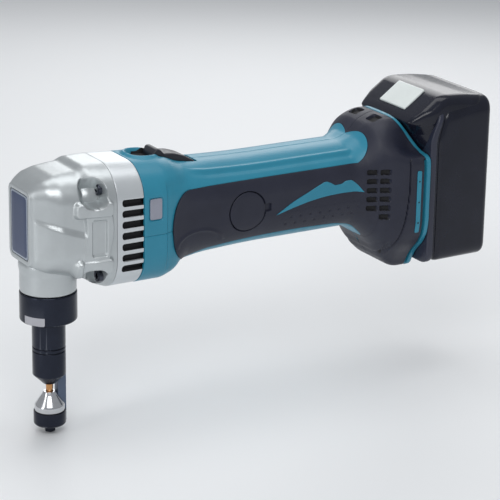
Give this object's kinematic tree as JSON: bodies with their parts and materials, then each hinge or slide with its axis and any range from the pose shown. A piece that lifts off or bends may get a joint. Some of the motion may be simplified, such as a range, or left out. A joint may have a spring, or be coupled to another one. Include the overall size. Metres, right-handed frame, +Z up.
{
  "type": "cordless nibbler",
  "caption": "Cordless sheet-metal nibbler: right-angle cutting head with punch and die, silver gear housing, inline grip with slide switch, sliding battery pack.",
  "frame": {"origin": "on the punch axis, at the flat end of the screw under the die", "axes": "+Z up along the punch, +X from the punch back to the battery, Y = 0 is the plane that splits the housing"},
  "size_m": [0.3238, 0.0764, 0.1913],
  "materials": {
    "cast_aluminium": "satin cast and painted silver",
    "satin_aluminium": "satin",
    "slate_plate": "printed plate, satin",
    "black_screws": "black oxide",
    "bearing_steel": "ground",
    "bracket_aluminium": "as cast",
    "sleeve_bronze": "sintered",
    "black_oxide": "black oxide, semi gloss",
    "ground_steel": "ground bright",
    "punch_bronze": "bronze-coloured coating",
    "drive_steel": "machined",
    "lamination_iron": "varnished",
    "commutator_copper": "turned",
    "magnet_ferrite": "matte",
    "inner_plastic": "moulded",
    "brush_carbon": "pressed carbon",
    "teal_plastic": "satin moulded",
    "grip_rubber": "soft overmoulding",
    "lens_grey": "translucent grey",
    "switch_black": "moulded",
    "circuit_green": "solder mask",
    "terminal_brass": "plated",
    "battery_black": "glossy moulded",
    "button_grey": "satin moulded",
    "cell_wrap": "wrapped cell"
  },
  "bodies": {
    "tool": {"gear_housing": "cast_aluminium", "nose_plate": "slate_plate", "vent_ring": "satin_aluminium", "gear_housing_screw_1": "black_screws", "gear_housing_screw_2": "black_screws", "gear_housing_screw_3": "black_screws", "gear_housing_screw_4": "black_screws", "front_needle_bearing": "bearing_steel", "rear_crank_bearing": "bearing_steel", "front_motor_bearing": "bearing_steel", "rear_motor_bearing": "bearing_steel", "bearing_bracket": "bracket_aluminium", "ram_sleeve": "sleeve_bronze", "motor_yoke": "drive_steel", "magnet_left": "magnet_ferrite", "magnet_right": "magnet_ferrite", "carbon_brush_left": "brush_carbon", "carbon_brush_right": "brush_carbon", "fan_baffle": "inner_plastic", "bearing_holder": "inner_plastic", "housing_left": "teal_plastic", "housing_right": "teal_plastic", "grip_cover_left": "grip_rubber", "grip_cover_right": "grip_rubber", "indicator_lens_left": "lens_grey", "indicator_lens_right": "lens_grey", "brush_cover_left": "grip_rubber", "brush_cover_right": "grip_rubber", "case_screw_1": "black_screws", "case_screw_2": "black_screws", "case_screw_3": "black_screws", "switch_unit": "inner_plastic", "control_board": "circuit_green", "terminal_block": "inner_plastic", "terminal_blade_left": "terminal_brass", "terminal_blade_right": "terminal_brass"},
    "lock_nut": {"lock_nut": "black_oxide"},
    "die_holder": {"die_holder": "black_oxide", "die": "ground_steel", "die_screw": "black_screws"},
    "punch": {"punch": "punch_bronze", "ram": "drive_steel", "wrist_pin": "drive_steel"},
    "crank": {"crankshaft": "drive_steel", "crank_gear": "drive_steel"},
    "connecting_rod": {"connecting_rod": "drive_steel"},
    "armature": {"armature_shaft": "drive_steel", "armature_core": "lamination_iron", "commutator": "commutator_copper", "cooling_fan": "inner_plastic"},
    "switch_lever": {"slide_switch_lever": "switch_black", "switch_rod": "inner_plastic"},
    "battery": {"battery_case": "battery_black", "battery_cover": "battery_black", "cell_pair_1": "cell_wrap", "cell_pair_2": "cell_wrap", "cell_pair_3": "cell_wrap", "cell_pair_4": "cell_wrap", "cell_pair_5": "cell_wrap"},
    "release_button": {"battery_release_button": "button_grey"}
  },
  "joints": [
    {"name": "lock_nut_turn", "type": "hinge", "parent": "tool", "child": "lock_nut", "pos_m": [0, 0, 0.08], "axis": [0, 0, 1], "range_deg": [0, 360]},
    {"name": "die_holder_turn", "type": "hinge", "parent": "tool", "child": "die_holder", "pos_m": [0, 0, 0], "axis": [0, 0, 1], "range_deg": [-180, 180]},
    {"name": "punch_stroke", "type": "slide", "parent": "tool", "child": "punch", "axis": [0, 0, 1], "range_m": [0, 0.005]},
    {"name": "crank_spin", "type": "hinge", "parent": "tool", "child": "crank", "pos_m": [0, 0, 0.15], "axis": [1, 0, 0], "continuous": true},
    {"name": "rod_swing", "type": "hinge", "parent": "crank", "child": "connecting_rod", "pos_m": [0, 0, 0.1475], "axis": [1, 0, 0], "continuous": true},
    {"name": "armature_spin", "type": "hinge", "parent": "tool", "child": "armature", "pos_m": [0, 0, 0.132], "axis": [1, 0, 0], "continuous": true},
    {"name": "switch_slide", "type": "slide", "parent": "tool", "child": "switch_lever", "axis": [-1, 0, 0], "range_m": [0, 0.007], "stiffness_N_per_m": 300},
    {"name": "battery_slide", "type": "slide", "parent": "tool", "child": "battery", "axis": [0, 0, 1], "range_m": [0, 0.075]},
    {"name": "button_press", "type": "slide", "parent": "battery", "child": "release_button", "axis": [1, 0, 0], "range_m": [0, 0.004], "stiffness_N_per_m": 600}
  ],
  "couplings": [
    {"joint": "rod_swing", "follows": "crank_spin", "ratio": -1},
    {"joint": "armature_spin", "follows": "crank_spin", "ratio": -5}
  ]
}
